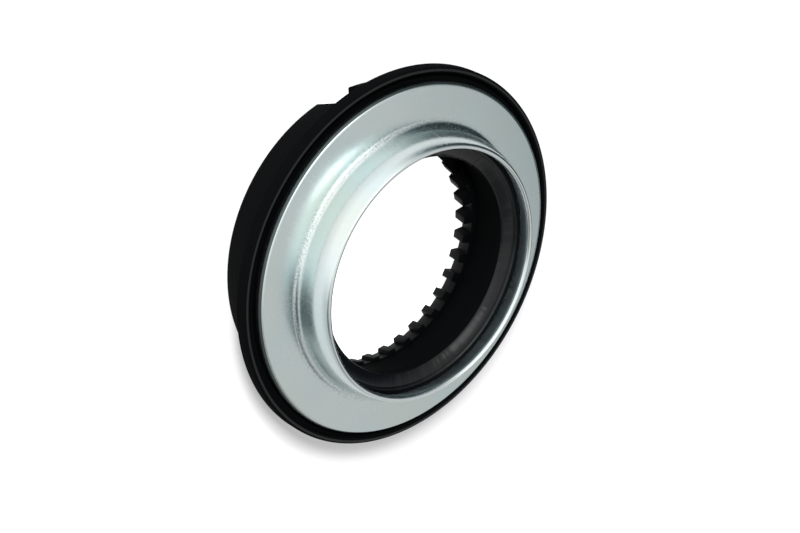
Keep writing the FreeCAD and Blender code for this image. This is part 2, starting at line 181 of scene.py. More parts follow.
class EffectGroup:
    """A shader effect that several finishes share, built once as a node group."""

    title: str = "effect"
    inputs: tuple[tuple[str, float], ...] = ()
    output: str = "Mask"

    _made: dict[str, Tree] = {}

    def tree(self) -> Tree:
        """Gives the group's tree, and builds it the first time."""
        if self.title not in EffectGroup._made:
            tree = bpy.data.node_groups.new(self.title, "ShaderNodeTree")
            for name, default in self.inputs:
                socket = tree.interface.new_socket(name, in_out="INPUT", socket_type="NodeSocketFloat")
                socket.default_value = default
            tree.interface.new_socket(self.output, in_out="OUTPUT", socket_type="NodeSocketFloat")
            given = tree.nodes.new("NodeGroupInput")
            result = tree.nodes.new("NodeGroupOutput")
            link(tree, self.fill(tree, given), result.inputs[0])
            EffectGroup._made[self.title] = tree
        return EffectGroup._made[self.title]

    def fill(self, tree: Tree, given: bpy.types.Node) -> Socket:
        """Adds the effect's nodes.

        Args:
            tree: The group's tree.
            given: The group's input node.

        Returns:
            The socket that the group puts out.
        """
        raise NotImplementedError

    def place(self, tree: Tree, **values: float) -> Socket:
        """Places the effect in a material.

        Args:
            tree: The material's tree.
            **values: Values for the group's inputs, by name.

        Returns:
            The group's output.
        """
        node = tree.nodes.new("ShaderNodeGroup")
        node.node_tree = self.tree()
        for name, value in values.items():
            node.inputs[name].default_value = value
        return node.outputs[0]


class Grain(EffectGroup):
    """Fine speckle in the surface, as on a moulded or plated skin."""

    title = "surface_grain"
    inputs = (("Scale", 1000.0), ("Low", 0.35), ("High", 0.65), ("Detail", 3.0))

    def fill(self, tree: Tree, given: bpy.types.Node) -> Socket:
        """Adds a noise in object space, stretched to the full range.

        Args:
            tree: The group's tree.
            given: The group's input node.

        Returns:
            The speckle, from 0 to 1.
        """
        place = tree.nodes.new("ShaderNodeTexCoord")
        noise = tree.nodes.new("ShaderNodeTexNoise")
        noise.inputs["Roughness"].default_value = 0.6
        link(tree, place.outputs["Object"], noise.inputs["Vector"])
        link(tree, given.outputs["Scale"], noise.inputs["Scale"])
        link(tree, given.outputs["Detail"], noise.inputs["Detail"])
        spread = tree.nodes.new("ShaderNodeMapRange")
        link(tree, noise.outputs["Fac"], spread.inputs["Value"])
        link(tree, given.outputs["Low"], spread.inputs["From Min"])
        link(tree, given.outputs["High"], spread.inputs["From Max"])
        return spread.outputs[0]


class DrawStreaks(EffectGroup):
    """Fine lines that run away from the axis, left by drawing the sheet over a die."""

    title = "draw_streaks"
    inputs = (("Count", 60.0), ("Run", 12.0), ("Low", 0.35), ("High", 0.7))

    def fill(self, tree: Tree, given: bpy.types.Node) -> Socket:
        """Adds a noise that changes fast round the axis and slowly along the surface.

        Args:
            tree: The group's tree.
            given: The group's input node.

        Returns:
            The streaks, from 0 to 1.
        """
        place = tree.nodes.new("ShaderNodeTexCoord")
        flat = vector_node(tree, "MULTIPLY", place.outputs["Object"])
        flat.inputs[1].default_value = (1.0, 1.0, 0.0)
        unit = vector_node(tree, "NORMALIZE", flat.outputs[0])
        round_axis = vector_node(tree, "SCALE", unit.outputs[0])
        link(tree, given.outputs["Count"], round_axis.inputs["Scale"])
        along = vector_node(tree, "SCALE", place.outputs["Object"])
        link(tree, given.outputs["Run"], along.inputs["Scale"])
        both = vector_node(tree, "ADD", round_axis.outputs[0], along.outputs[0])
        noise = tree.nodes.new("ShaderNodeTexNoise")
        noise.inputs["Scale"].default_value = 1.0
        noise.inputs["Detail"].default_value = 2.0
        link(tree, both.outputs[0], noise.inputs["Vector"])
        spread = tree.nodes.new("ShaderNodeMapRange")
        link(tree, noise.outputs["Fac"], spread.inputs["Value"])
        link(tree, given.outputs["Low"], spread.inputs["From Min"])
        link(tree, given.outputs["High"], spread.inputs["From Max"])
        return spread.outputs[0]


class RingBand(EffectGroup):
    """A soft band round the axis at one radius and height, for an edge or a root."""

    title = "ring_band"
    inputs = (("Radius", 0.05), ("Height", 0.02), ("Width", 0.001))

    def fill(self, tree: Tree, given: bpy.types.Node) -> Socket:
        """Measures how near the surface lies to a circle about the axis.

        Args:
            tree: The group's tree.
            given: The group's input node.

        Returns:
            1 on the circle, falling to 0 at the width.
        """
        place = tree.nodes.new("ShaderNodeTexCoord")
        parts = tree.nodes.new("ShaderNodeSeparateXYZ")
        link(tree, place.outputs["Object"], parts.inputs[0])
        side, depth, height = parts.outputs
        squares = total(tree, product(tree, side, side), product(tree, depth, depth))
        radius = scalar_node(tree, "SQRT", squares)
        out = scalar_node(tree, "SUBTRACT", radius, given.outputs["Radius"])
        up = scalar_node(tree, "SUBTRACT", height, given.outputs["Height"])
        reach = scalar_node(tree, "SQRT", total(tree, product(tree, out, out), product(tree, up, up)))
        share = scalar_node(tree, "DIVIDE", reach, given.outputs["Width"])
        return scalar_node(tree, "SUBTRACT", 1.0, share, clamp=True)


@dataclass(frozen=True)
class SurfaceFinish:
    """What every finish has: a name, a colour, a gloss and a way to build its nodes."""

    title: str
    colour: Colour
    roughness: float
    metallic: float = 0.0
    specular: float = 0.5

    def material(self) -> bpy.types.Material:
        """Makes the material, with its shader's plain values set on its own sockets."""
        made = bpy.data.materials.new(self.title)
        made.use_nodes = True
        made.diffuse_color = self.colour
        shader = made.node_tree.nodes["Principled BSDF"]
        shader.inputs["Base Color"].default_value = self.colour
        shader.inputs["Roughness"].default_value = self.roughness
        shader.inputs["Metallic"].default_value = self.metallic
        shader.inputs["Specular IOR Level"].default_value = self.specular
        self.detail(made.node_tree, shader)
        return made

    def detail(self, tree: Tree, shader: bpy.types.Node) -> None:
        """Adds what the finish shows beyond one colour.

        Args:
            tree: The material's tree.
            shader: The surface shader.
        """
        raise NotImplementedError

    def emboss(
        self,
        tree: Tree,
        shader: bpy.types.Node,
        height: Socket,
        strength: float,
        depth: float,
    ) -> None:
        """Raises the surface by a height map.

        Args:
            tree: The material's tree.
            shader: The surface shader.
            height: The map.
            strength: How much of it shows.
            depth: The height of a full step, in metres.
        """
        bump = tree.nodes.new("ShaderNodeBump")
        bump.inputs["Strength"].default_value = strength
        bump.inputs["Distance"].default_value = depth
        link(tree, height, bump.inputs["Height"])
        link(tree, bump.outputs["Normal"], shader.inputs["Normal"])


@dataclass(frozen=True)
class ZincSheet(SurfaceFinish):
    """Zinc on drawn sheet: cool grey, faintly blue and yellow, with grain and painted shade in the root
    and a painted highlight on the lip.

    Radii, heights and widths are in millimetres.
    """

    blue_tint: Colour = (0.62, 0.74, 0.77, 1.0)
    blue_share: float = 0.65
    warm_tint: Colour = (0.75, 0.78, 0.69, 1.0)
    warm_share: float = 0.45
    # Paler colour on the collar's lip: a painted highlight.
    lip_highlight: Colour = (0.86, 0.89, 0.88, 1.0)
    lip_radius: float = 41.3
    lip_height: float = 37.2
    lip_width: float = 0.5
    # Dark speckle in the root fillet: partly real grain, partly painted shade.
    root_grain_and_shade: Colour = (0.34, 0.39, 0.40, 1.0)
    root_grain_and_shade_share: float = 0.74
    root_radius: float = 45.4
    root_height: float = 25.5
    root_width: float = 2.0
    root_depth: float = 2.5
    satin_gloss: float = 0.10
    drawn_gloss: float = 0.06
    gloss_lead: float = 0.06
    grain_depth: float = 0.5
    draw_depth: float = 0.5

    def detail(self, tree: Tree, shader: bpy.types.Node) -> None:
        """Adds the tints, the grain of the root with its painted shade, the draw lines and the painted
        highlight on the lip.

        Args:
            tree: The material's tree.
            shader: The surface shader.
        """
        grain = Grain()
        clouds = grain.place(tree, Scale=22.0, Low=0.42, High=0.66, Detail=2.0)
        drift = grain.place(tree, Scale=31.0, Low=0.50, High=0.72, Detail=1.0)
        fine = grain.place(tree, Scale=1400.0, Low=0.30, High=0.72, Detail=2.0)
        spots = grain.place(tree, Scale=1700.0, Low=0.46, High=0.64, Detail=3.0)
        streaks = DrawStreaks().place(tree, Count=70.0, Run=25.0, Low=0.40, High=0.75)
        cool = blend_colours(tree, product(tree, clouds, self.blue_share), self.colour, self.blue_tint)
        tinted = blend_colours(tree, product(tree, drift, self.warm_share), cool, self.warm_tint)
        root = RingBand().place(
            tree, Radius=self.root_radius * MM, Height=self.root_height * MM, Width=self.root_width * MM
        )
        # Darkens the root fillet with speckle: real grain mixed with painted shade in the crease.
        root_grain_and_shade_mask = product(tree, root, product(tree, spots, self.root_grain_and_shade_share))
        with_root_grain_and_shade = blend_colours(tree, root_grain_and_shade_mask, tinted, self.root_grain_and_shade)
        # The lip band takes the paler colour, a painted highlight on the rounded edge.
        lip = RingBand().place(
            tree, Radius=self.lip_radius * MM, Height=self.lip_height * MM, Width=self.lip_width * MM
        )
        link(tree, blend_colours(tree, lip, with_root_grain_and_shade, self.lip_highlight), shader.inputs["Base Color"])
        uneven = total(
            tree, product(tree, fine, self.satin_gloss), product(tree, streaks, self.drawn_gloss)
        )
        rough = total(tree, self.roughness - self.gloss_lead, uneven, clamp=True)
        link(tree, rough, shader.inputs["Roughness"])
        height = total(
            tree, product(tree, fine, self.grain_depth), product(tree, streaks, self.draw_depth)
        )
        peel = product(tree, grain.place(tree, Scale=2100.0, Detail=2.0), root)
        height = total(tree, height, product(tree, peel, self.root_depth))
        self.emboss(tree, shader, height, strength=0.03, depth=0.05 * MM)


@dataclass(frozen=True)
class MouldedNylon(SurfaceFinish):
    """Glass-filled nylon from the mould: near black, with a fine spark-eroded grain."""

    dusty: Colour = (0.0034, 0.0038, 0.0043, 1.0)
    dust_share: float = 0.8
    gloss_lead: float = 0.05
    flow_gloss: float = 0.08
    grain_gloss: float = 0.06
    grain_scale: float = 1500.0
    grain_depth: float = 0.22
    streak_depth: float = 0.0

    def detail(self, tree: Tree, shader: bpy.types.Node) -> None:
        """Adds flow marks, the grain, the slightly paler dust on it and any draw streaks.

        Args:
            tree: The material's tree.
            shader: The surface shader.
        """
        grain = Grain()
        flow = grain.place(tree, Scale=45.0, Low=0.40, High=0.70, Detail=4.0)
        fine = grain.place(tree, Scale=self.grain_scale, Low=0.30, High=0.70, Detail=3.0)
        dust = product(tree, product(tree, flow, fine), self.dust_share)
        link(tree, blend_colours(tree, dust, self.colour, self.dusty), shader.inputs["Base Color"])
        uneven = total(
            tree, product(tree, flow, self.flow_gloss), product(tree, fine, self.grain_gloss)
        )
        rough = total(tree, self.roughness - self.gloss_lead, uneven, clamp=True)
        link(tree, rough, shader.inputs["Roughness"])
        height = product(tree, fine, self.grain_depth)
        if self.streak_depth:
            streaks = DrawStreaks().place(tree, Count=9.0, Run=4.0, Low=0.35, High=0.70)
            height = total(tree, height, product(tree, streaks, self.streak_depth))
        self.emboss(tree, shader, height, strength=1.0, depth=0.06 * MM)


@dataclass(frozen=True)
class GroundSteel(SurfaceFinish):
    """Hardened bearing steel with fine grinding marks."""

    oiled: Colour = (0.48, 0.47, 0.44, 1.0)
    oil_share: float = 0.5
    oil_gloss: float = 0.12

    def detail(self, tree: Tree, shader: bpy.types.Node) -> None:
        """Adds a thin film of grease and grinding marks.

        Args:
            tree: The material's tree.
            shader: The surface shader.
        """
        film = Grain().place(tree, Scale=160.0, Low=0.42, High=0.62, Detail=3.0)
        marks = Grain().place(tree, Scale=2400.0, Low=0.30, High=0.70, Detail=2.0)
        oil = product(tree, film, self.oil_share)
        link(tree, blend_colours(tree, oil, self.colour, self.oiled), shader.inputs["Base Color"])
        rough = total(tree, self.roughness, product(tree, film, self.oil_gloss))
        link(tree, rough, shader.inputs["Roughness"])
        self.emboss(tree, shader, marks, strength=0.08, depth=0.02 * MM)


@dataclass
class FinishShelf:
    """Keeps one material for each finish."""

    made: dict[Finish, bpy.types.Material] = field(default_factory=dict)

    def recipes(self) -> dict[Finish, SurfaceFinish]:
        """Lists the finishes of the mount with their values."""
        return {
            Finish.ZINC: ZincSheet("zinc_sheet", (0.71, 0.79, 0.775, 1.0), roughness=0.21, metallic=1.0),
            # A darker, rougher copy of the zinc for the collar's inside: the rougher finish is real, the
            # darker colour is painted shade.
            Finish.SHADED_INNER_ZINC: ZincSheet(
                "shaded_inner_zinc", (0.52, 0.64, 0.66, 1.0), roughness=0.42, metallic=1.0,
                blue_tint=(0.44, 0.58, 0.62, 1.0), warm_tint=(0.54, 0.62, 0.58, 1.0), drawn_gloss=0.20,
            ),
            Finish.SHEARED_EDGE: ZincSheet(
                "sheared_edge", (0.10, 0.125, 0.12, 1.0), roughness=0.40, metallic=1.0,
                blue_tint=(0.08, 0.11, 0.11, 1.0), warm_tint=(0.12, 0.125, 0.11, 1.0),
            ),
            Finish.NYLON: MouldedNylon(
                "black_nylon", (0.0016, 0.0018, 0.0021, 1.0), roughness=0.34, specular=0.08,
            ),
            Finish.MATTE: MouldedNylon(
                "matte_nylon", (0.0026, 0.0029, 0.0031, 1.0), roughness=0.90, specular=0.02,
            ),
            Finish.POLISHED: MouldedNylon(
                "polished_nylon", (0.0028, 0.0032, 0.0037, 1.0), roughness=0.18, specular=0.34,
                grain_scale=900.0, grain_depth=0.02, streak_depth=1.4,
            ),
            Finish.RUBBER: MouldedNylon(
                "seal_rubber", (0.022, 0.022, 0.022, 1.0), roughness=0.62, specular=0.30,
            ),
            Finish.STEEL: GroundSteel(
                "bearing_steel", (0.62, 0.63, 0.64, 1.0), roughness=0.18, metallic=1.0,
            ),
            Finish.CAGE: MouldedNylon(
                "cage_nylon", (0.72, 0.67, 0.54, 1.0), roughness=0.45, specular=0.45,
                dusty=(0.66, 0.60, 0.47, 1.0), grain_scale=700.0,
            ),
        }

    def get(self, finish: Finish) -> bpy.types.Material:
        """Gives the material of a finish, made the first time it is asked for."""
        if finish not in self.made:
            self.made[finish] = self.recipes()[finish].material()
        return self.made[finish]


def add_object(title: str, data: bpy.types.ID) -> bpy.types.Object:
    """Puts a mesh, a lamp or a camera into the scene as an object."""
    made = bpy.data.objects.new(title, data)
    bpy.context.scene.collection.objects.link(made)
    return made


def turn_mesh(mesh: Mesh, degrees: float) -> None:
    """Turns a mesh about the axis."""
    turn = Matrix.Rotation(math.radians(degrees), 3, "Z")
    bmesh.ops.rotate(mesh, verts=mesh.verts, cent=ORIGIN, matrix=turn)


def face_outwards(mesh: Mesh) -> None:
    """Makes every face of one closed mesh point outwards."""
    bmesh.ops.recalc_face_normals(mesh, faces=mesh.faces)
    if mesh.calc_volume(signed=True) < 0.0:
        bmesh.ops.reverse_faces(mesh, faces=mesh.faces)


class Section:
    """Half a cross-section, drawn as radius and height, that is spun about the axis."""

    def __init__(self, radius: float, height: float) -> None:
        """Starts the outline at one point, in millimetres.

        Args:
            radius: Distance from the axis.
            height: Height above the resting face.
        """
        self.mesh = bmesh.new()
        self.first = self.mesh.verts.new(Vector((radius * MM, 0.0, height * MM)))
        self.last = self.first
        self.corners: dict[str, bmesh.types.BMVert] = {}

    def line(self, radius: float, height: float, corner: str = "") -> "Section":
        """Draws a straight side to a point.

        Args:
            radius: Distance of the point from the axis.
            height: Its height.
            corner: A name, if the corner there is rounded later.

        Returns:
            The section, so that calls can follow each other.
        """
        grown = bmesh.ops.extrude_vert_indiv(self.mesh, verts=[self.last])["verts"][0]
        grown.co = Vector((radius * MM, 0.0, height * MM))
        self.last = grown
        if corner:
            self.corners[corner] = grown
        return self

    def arc(self, centre: Point, degrees: float, steps: int) -> "Section":
        """Draws an arc from the last point about a centre.

        Args:
            centre: Radius and height of the centre.
            degrees: Turn of the arc, positive from +X towards +Z.
            steps: Number of sides.

        Returns:
            The section, so that calls can follow each other.
        """
        swept = bmesh.ops.spin(
            self.mesh,
            geom=[self.last],
            cent=Vector((centre[0] * MM, 0.0, centre[1] * MM)),
            axis=Vector((0.0, -1.0, 0.0)),
            angle=math.radians(degrees),
            steps=steps,
        )
        self.last = next(e for e in swept["geom_last"] if isinstance(e, bmesh.types.BMVert))
        return self

    def close(self) -> "Section":
        """Joins the last point to the first."""
        self.mesh.edges.new((self.last, self.first))
        return self

    def weld(self) -> "Section":
        """Merges points that lie on each other, such as the ends of an arc that comes home."""
        bmesh.ops.remove_doubles(self.mesh, verts=self.mesh.verts, dist=MERGE_DISTANCE)
        return self

    def soften(self, radius: float, names: Sequence[str], segments: int = 4) -> "Section":
        """Rounds named corners.

        Args:
            radius: How far the rounding reaches from the corner.
            names: The corners.
            segments: Sides of each rounding.

        Returns:
            The section, so that calls can follow each other.
        """
        bmesh.ops.bevel(
            self.mesh,
            geom=[self.corners.pop(name) for name in names],
            offset=radius * MM,
            offset_type="OFFSET",
            segments=segments,
            profile=0.5,
            affect="VERTICES",
            material=-1,
        )
        return self

    def lathe(self, steps: int = LATHE_STEPS) -> Mesh:
        """Spins the outline right round the axis.

        Args:
            steps: Number of sides of the ring.

        Returns:
            The closed ring.
        """
        bmesh.ops.spin(
            self.mesh,
            geom=self.mesh.verts[:] + self.mesh.edges[:],
            cent=ORIGIN,
            axis=AXIS,
            angle=FULL_TURN,
            steps=steps,
            use_merge=True,
        )
        bmesh.ops.remove_doubles(self.mesh, verts=self.mesh.verts, dist=MERGE_DISTANCE)
        face_outwards(self.mesh)
        return self.mesh

    def sweep(self, start: float, end: float, steps: int) -> Mesh:
        """Spins the outline over part of a turn and closes both ends.

        Args:
            start: Angle of the first end, in degrees.
            end: Angle of the last end.
            steps: Number of sides.

        Returns:
            The closed piece.
        """
        turn_mesh(self.mesh, start)
        outline = self.mesh.edges[:]
        swept = bmesh.ops.spin(
            self.mesh,
            geom=self.mesh.verts[:] + outline,
            cent=ORIGIN,
            axis=AXIS,
            angle=math.radians(end - start),
            steps=steps,
        )
        far = [e for e in swept["geom_last"] if isinstance(e, bmesh.types.BMEdge)]
        bmesh.ops.edgeloop_fill(self.mesh, edges=outline)
        bmesh.ops.edgeloop_fill(self.mesh, edges=far)
        face_outwards(self.mesh)
        return self.mesh


@dataclass
class Piece:
    """One piece of the mount that is modelled here in place of a node of the frame."""

    title: str
    body: str
    record_slot: str
    shelf: FinishShelf

    def finish_piece(self, mesh: Mesh, finishes: Sequence[Finish]) -> bpy.types.Object:
        """Turns a built mesh into an object that rides on its body.

        Args:
            mesh: The mesh, in the frame's place and metres.
            finishes: The finishes, in the order of the faces' material numbers.

        Returns:
            The object.
        """
        data = bpy.data.meshes.new(self.title)
        mesh.to_mesh(data)
        mesh.free()
        data.shade_smooth()
        data.set_sharp_from_angle(angle=SMOOTH_ANGLE)
        for finish in finishes:
            data.materials.append(self.shelf.get(finish))
        made = add_object(self.title, data)
        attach(made, self.body)
        log.info("%s: %d faces", self.title, len(data.polygons))
        return made

    def paint(self, mesh: Mesh, number: int, chosen: Callable[[float, float], bool]) -> None:
        """Gives faces another material number by their radius and height.

        Args:
            mesh: The mesh.
            number: The material number.
            chosen: Tells from radius and height in millimetres whether a face is taken.
        """
        for face in mesh.faces:
            centre = face.calc_center_median()
            if chosen(math.hypot(centre.x, centre.y) / MM, centre.z / MM):
                face.material_index = number


def join_mesh(target: Mesh, part: Mesh) -> None:
    """Adds one mesh to another and frees it.

    Args:
        target: The mesh that grows.
        part: The mesh that is added.
    """
    data = bpy.data.meshes.new("part")
    part.to_mesh(data)
    part.free()
    target.from_mesh(data)
    bpy.data.meshes.remove(data)


@dataclass
class SpringSeat(Piece):
    """The zinc-plated sheet: a flat ring with a collar drawn up from its bore.

    Sizes are in millimetres, and the lean of the collar's dome is in degrees.
    """

    plate_radius: float = 58.0
    plate_top: float = 25.1
    sheet: float = 2.0
    rim_round: float = 1.25
    rim_under_round: float = 0.25
    cut_width: float = 0.6
    collar_radius: float = 44.2
    root: float = 2.0
    land: float = 1.5
    dome: float = 17.46
    lean: float = 27.5
    paint_reach: float = 0.1

    def build(self) -> bpy.types.Object:
        """Builds the sheet with its rounded rim and rounded lip."""
        foot = self.collar_radius + self.root
        turn = self.plate_top + self.root
        top = turn + self.land
        under = self.plate_top - self.sheet
        centre = (self.collar_radius - self.dome, top)
        lean = math.radians(self.lean)
        middle = self.dome - self.sheet / 2
        lip = (centre[0] + middle * math.cos(lean), centre[1] + middle * math.sin(lean))
        section = Section(foot, under)
        section.line(self.plate_radius, under, "rim_under")
        section.line(self.plate_radius, self.plate_top, "rim_top")
        section.line(foot, self.plate_top)
        section.arc((foot, turn), -90.0, 10)
        section.line(self.collar_radius, top)
        section.arc(centre, self.lean, 14)
        section.arc(lip, 180.0, 10)
        section.arc(centre, -self.lean, 14)
        section.line(self.collar_radius - self.sheet, turn)
        section.arc((foot, turn), 90.0, 12)
        section.weld()
        section.soften(self.rim_round, ("rim_top",), 8)
        section.soften(self.rim_under_round, ("rim_under",), 3)
        ring = section.lathe(2 * LATHE_STEPS)
        bore = self.collar_radius - self.sheet + self.paint_reach
        cut = self.plate_radius - self.cut_width
        # The collar's inside takes the darker copy of the zinc, which paints shade there.
        self.paint(ring, 1, lambda radius, height: radius < bore and height < lip[1])
        self.paint(ring, 2, lambda radius, height: radius > cut)
        made = self.finish_piece(ring, (Finish.ZINC, Finish.SHADED_INNER_ZINC, Finish.SHEARED_EDGE))
        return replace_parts(made, "spring_seat")


@dataclass
class TurningCap(Piece):
    """The black cap behind the seat: sleeve, polished funnel, throat and flared bore wall.

    Sizes are in millimetres, radii from the axis and heights from the resting face.
    """

    sleeve_radius: float = 42.0
    sleeve_top: float = 31.6
    sleeve_back: float = 41.2
    ledge: float = 40.1
    ledge_step: float = 0.5
    funnel: float = 39.2
    throat: float = 35.7
    throat_top: float = 29.15
    throat_land: float = 2.5
    flare: float = 39.1
    end: float = 13.70
    root_centre: Point = (46.2, 27.3)
    disc_radius: float = 57.9
    disc_top: float = 23.1
    disc_under: float = 21.1
    race_edge: Point = (50.89, 19.82)
    race_lip: float = 45.46
    ball_centre: Point = (49.5, 16.0)
    seal_lip: Point = (43.7, 17.3)
    seal_slot: Point = (44.5, 21.3)
    edge_round: float = 0.45
    throat_round: float = 0.5
    back_round: float = 0.3
    paint_top: float = 28.9
    paint_reach: float = 0.3

    def build(self) -> bpy.types.Object:
        """Builds the cap from one section."""
        ledge_foot = self.sleeve_top - self.ledge_step
        section = Section(self.flare, self.end)
        section.corners["end"] = section.first
        section.line(self.throat, self.throat_top - self.throat_land, "throat_low")
        section.line(self.throat, self.throat_top, "throat_high")
        section.line(self.funnel, ledge_foot)
        section.line(self.funnel + self.ledge_step, ledge_foot)
        section.line(self.ledge, self.sleeve_top, "sleeve_in")
        section.line(self.sleeve_radius, self.sleeve_top, "sleeve_out")
        section.line(self.sleeve_radius, self.root_centre[1])
        section.arc(self.root_centre, 90.0, 10)
        section.line(self.disc_radius, self.disc_top, "rim_high")
        section.line(self.disc_radius, self.disc_under, "rim_low")
        section.line(self.race_edge[0], self.disc_under)
        section.line(*self.race_edge)
        section.arc(self.ball_centre, 105.0, 14)
        section.line(self.race_lip, self.ball_centre[1])
        section.line(self.seal_lip[0], self.ball_centre[1])
        section.line(*self.seal_lip)
        section.line(self.seal_slot[0], self.seal_lip[1])
        section.line(*self.seal_slot)
        section.line(self.sleeve_back, self.seal_slot[1])
        section.line(self.sleeve_back, self.end, "sleeve_low")
        section.close()
        section.weld()
        section.soften(self.edge_round, ("sleeve_in", "sleeve_out", "rim_high", "rim_low"), 4)
        section.soften(self.throat_round, ("throat_low", "throat_high"), 4)
        section.soften(self.back_round, ("sleeve_low", "end"), 3)
        ring = section.lathe()
        polished = self.ledge + self.paint_reach
        matte = self.flare + self.paint_reach
        self.paint(ring, 1, lambda radius, height: radius < polished and height > self.paint_top)
        self.paint(ring, 2, lambda radius, height: radius < matte and height < self.paint_top)
        made = self.finish_piece(ring, (Finish.NYLON, Finish.POLISHED, Finish.MATTE))
        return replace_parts(made, "lower_cap")


@dataclass
class FixedCap(Piece):
    """The black cap on the car-body side: skirt, cone wall, key slot, ribs and toothed bore.

    Sizes are in millimetres, radii from the axis and heights from the resting face. Angles are in
    degrees.
    """

    skirt: float = 62.4
    skirt_wall: float = 2.1
    skirt_top: float = 23.3
    lip_round: float = 0.9
    lip_inner_round: float = 0.7
    edge_round: float = 0.3
    step: float = 18.7
    step_cut: float = 0.6
    channel: Point = (56.4, 20.4)
    channel_foot: float = 18.0
    race_edge: Point = (53.54, 15.65)
    race_lip: float = 54.16
    ball_centre: Point = (49.5, 16.0)
    guard: float = 43.2
    guard_foot: float = 12.08
    guard_step: Point = (44.2, 17.9)
    guard_step_top: float = 18.4
    guard_top: float = 19.5
    guard_inner: float = 41.9
    wall_top: float = 58.8
    wall_foot: float = 51.6
    wall: float = 3.3
    foot_round: float = 0.35
    wall_tuck: tuple[Point, ...] = ((59.1, 18.8), (52.5, 11.0), (51.77, 9.1))
    web: float = 9.0
    web_edge: Point = (52.0, 9.6)
    web_cut: float = 0.5
    hub: float = 43.0
    hub_seat: float = 41.0
    hub_draft: float = 1.0
    hub_front: float = 13.25
    hub_back: float = 7.4
    bore_seat: float = 41.2
    bore_edge: float = 40.5
    bore: float = 38.4
    bore_round: float = 0.25
    bore_back_round: float = 0.2
    bore_offset: float = 0.9
    draft: float = 1.4
    slot_angle: float = 252.8
    slot_half: float = 7.05
    rib_count: int = 20
    rib: float = 1.8
    rib_outline: tuple[Point, ...] = ((42.5, 7.4), (43.0, 7.4), (51.1, 3.0), (53.6, 9.6), (42.5, 9.6))
    tooth_count: int = 35
    tooth_offset: float = 2.6
    tooth_phase: float = 9.3
    tooth_height: float = 2.0
    tip_width: float = 2.5
    root_width: float = 3.95
    root_reach: float = 42.0
    tooth_seat: float = 41.0
    tooth_round: float = 0.22
    matte_from: float = 43.5
    lip_line: Point = (60.9, 61.8)
    lip_line_from: float = 22.9

    def shell(self) -> Mesh:
        """Builds the ring above the cone wall, with a plain round bore."""
        inner = self.skirt - self.skirt_wall
        section = Section(self.web_edge[0] - self.web_cut, self.web)
        section.line(*self.web_edge)
        section.line(self.skirt - self.step_cut, self.step)
        section.line(self.skirt, self.step + self.step_cut, "step")
        section.line(self.skirt, self.skirt_top, "lip_out")
        section.line(inner, self.skirt_top, "lip_in")
        section.line(inner, self.channel[1], "groove_out")
        section.line(*self.channel)
        section.line(self.channel[0], self.channel_foot)
        section.line(self.race_lip, self.channel_foot)
        section.line(*self.race_edge)
        section.arc(self.ball_centre, -100.0, 14)
        section.line(self.guard, self.guard_foot)
        section.line(self.guard, self.guard_step[1])
        section.line(*self.guard_step)
        section.line(self.guard_step[0], self.guard_step_top)
        section.line(self.guard, self.guard_top, "guard_out")
        section.line(self.guard_inner, self.guard_top, "guard_in")
        section.line(self.guard_inner, self.hub_front)
        section.line(self.hub_seat, self.hub_front)
        section.line(self.hub_seat + self.hub_draft, self.hub_back)
        section.line(self.hub, self.hub_back, "hub")
        section.line(self.hub, self.web, "web_in")
        section.close()
        section.soften(self.lip_round, ("lip_out",), 6)
        section.soften(self.lip_inner_round, ("lip_in",), 5)
        plain = ("step", "groove_out", "guard_out", "guard_in", "hub", "web_in")
        section.soften(self.edge_round, plain, 3)
        return section.lathe()

    def bore_ring(self) -> Mesh:
        """Builds the ring that carries the teeth, whose bore stands off the axis."""
        section = Section(self.bore_seat, self.hub_back)
        section.line(self.bore_seat, self.hub_front)
        section.line(self.bore, self.hub_front, "front")
        section.line(self.bore + self.draft, self.hub_back, "back")
        section.close()
        section.soften(self.bore_round, ("front",), 3)
        section.soften(self.bore_back_round, ("back",), 2)
        ring = section.lathe()
        for vert in ring.verts:
            if math.hypot(vert.co.x, vert.co.y) / MM < self.bore_edge:
                vert.co.x += self.bore_offset * MM
        return ring

    def cone_wall(self) -> Mesh:
        """Builds the cone wall, open at the key slot."""
        section = Section(self.wall_foot - self.wall, 0.0)
        section.corners["foot_in"] = section.first
        section.line(self.wall_foot, 0.0, "foot_out")
        section.line(self.wall_top, self.step)
        for point in self.wall_tuck:
            section.line(*point)
        section.close()
        section.soften(self.foot_round, ("foot_in", "foot_out"), 3)
        start = self.slot_angle + self.slot_half
        return section.sweep(start, start + 360.0 - 2.0 * self.slot_half, LATHE_STEPS)

    def wedge(self, outline: Sequence[Point], thickness: float, angle: float) -> Mesh:
        """Builds a flat plate that stands on a plane through the axis.

        Args:
            outline: Its corners as radius and height.
            thickness: Its thickness.
            angle: The plane's angle about the axis, in degrees.

        Returns:
            The closed plate.
        """
        plate = bmesh.new()
        corners = [plate.verts.new(Vector((r * MM, -thickness / 2 * MM, z * MM))) for r, z in outline]
        side = plate.faces.new(corners)
        grown = bmesh.ops.extrude_face_region(plate, geom=[side])["geom"]
        moved = [e for e in grown if isinstance(e, bmesh.types.BMVert)]
        bmesh.ops.translate(plate, verts=moved, vec=Vector((0.0, thickness * MM, 0.0)))
        face_outwards(plate)
        turn_mesh(plate, angle)
        return plate

    def ribs(self) -> Mesh:
        """Builds the ribs between the hub and the cone wall."""
        ring = bmesh.new()
        for number in range(self.rib_count):
            angle = self.slot_angle + (number + 0.5) * 360.0 / self.rib_count
            join_mesh(ring, self.wedge(self.rib_outline, self.rib, angle))
        return ring

